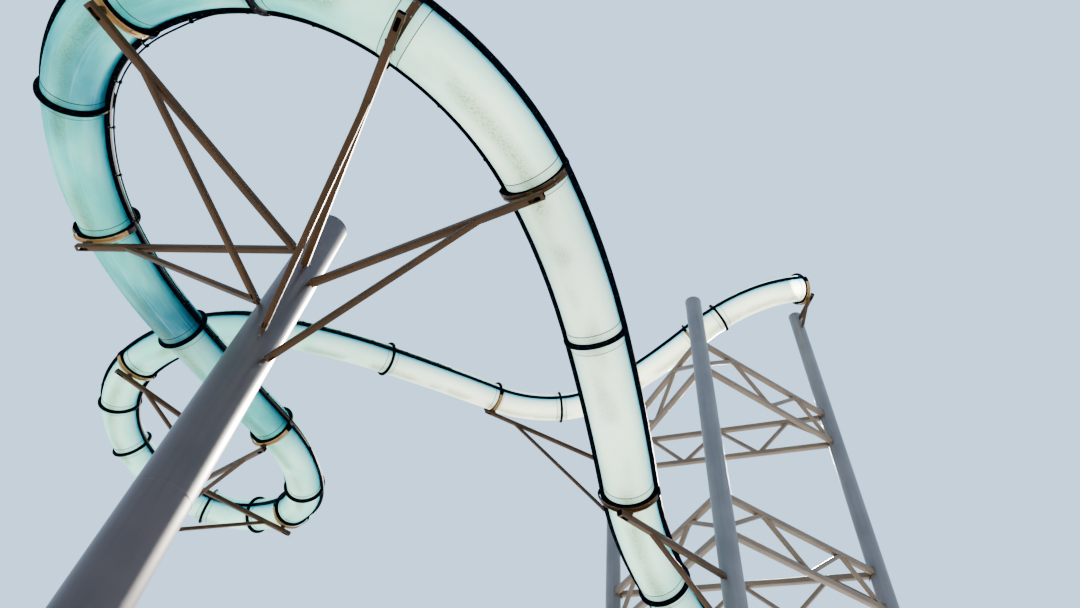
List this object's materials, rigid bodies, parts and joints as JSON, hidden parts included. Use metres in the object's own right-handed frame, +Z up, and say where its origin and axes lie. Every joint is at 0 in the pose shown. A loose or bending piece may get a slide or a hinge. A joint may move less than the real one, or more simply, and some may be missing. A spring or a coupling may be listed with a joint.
{
  "type": "water slide tower",
  "caption": "Enclosed tube slide that winds down from a lattice-braced tower round two masts, in flanged sections carried on saddles and braced arms.",
  "frame": {"origin": "on the ground at the centre of the front mast's base plate", "axes": "+Z up; +X towards the slide's start, level; +Y towards the lattice tower and rear mast, level"},
  "size_m": [20.4723, 16.8463, 21.0786],
  "materials": {
    "shell_tinted": "glossy tinted translucent glass-fibre resin",
    "shell_milky": "glossy milky translucent glass-fibre resin",
    "mast_steel": "satin grey paint",
    "leg_steel": "satin light grey paint",
    "arm_steel": "weathered satin paint"
  },
  "bodies": {
    "root": {"tube_section_01": "shell_milky", "tube_section_02": "shell_milky", "tube_section_03": "shell_milky", "tube_section_04": "shell_milky", "tube_section_05": "shell_milky", "tube_section_06": "shell_milky", "tube_section_07": "shell_tinted", "tube_section_08": "shell_tinted", "tube_section_09": "shell_tinted", "tube_section_10": "shell_tinted", "tube_section_11": "shell_tinted", "tube_section_12": "shell_milky", "tube_section_13": "shell_milky", "tube_section_14": "shell_milky", "tube_section_15": "shell_milky", "tube_section_16": "shell_milky", "tube_section_17": "shell_milky", "tube_section_18": "shell_milky", "tube_section_19": "shell_tinted", "tube_section_20": "shell_tinted", "tube_section_21": "shell_tinted", "tube_section_22": "shell_tinted", "tube_section_23": "shell_milky", "tube_section_24": "shell_milky", "tube_section_25": "shell_milky", "tube_section_26": "shell_milky", "tube_section_27": "shell_milky", "tube_section_28": "shell_milky", "arm_ring_00": "arm_steel", "arm_ring_02": "arm_steel", "arm_ring_05": "arm_steel", "arm_ring_09": "arm_steel", "arm_ring_15": "arm_steel", "arm_ring_17": "arm_steel", "arm_ring_19": "arm_steel", "arm_ring_21": "arm_steel", "arm_ring_23": "arm_steel", "arm_ring_24": "arm_steel", "arm_ring_26": "arm_steel", "arm_ring_28": "arm_steel", "head_saddle": "arm_steel", "front_mast": "mast_steel", "rear_mast": "mast_steel", "near_leg": "leg_steel", "far_leg": "leg_steel", "right_leg": "leg_steel", "lattice_upper_left": "arm_steel", "lattice_upper_right": "arm_steel", "lattice_upper_back": "arm_steel", "lattice_lower_left": "arm_steel", "lattice_lower_right": "arm_steel", "lattice_lower_back": "arm_steel"}
  },
  "joints": []
}
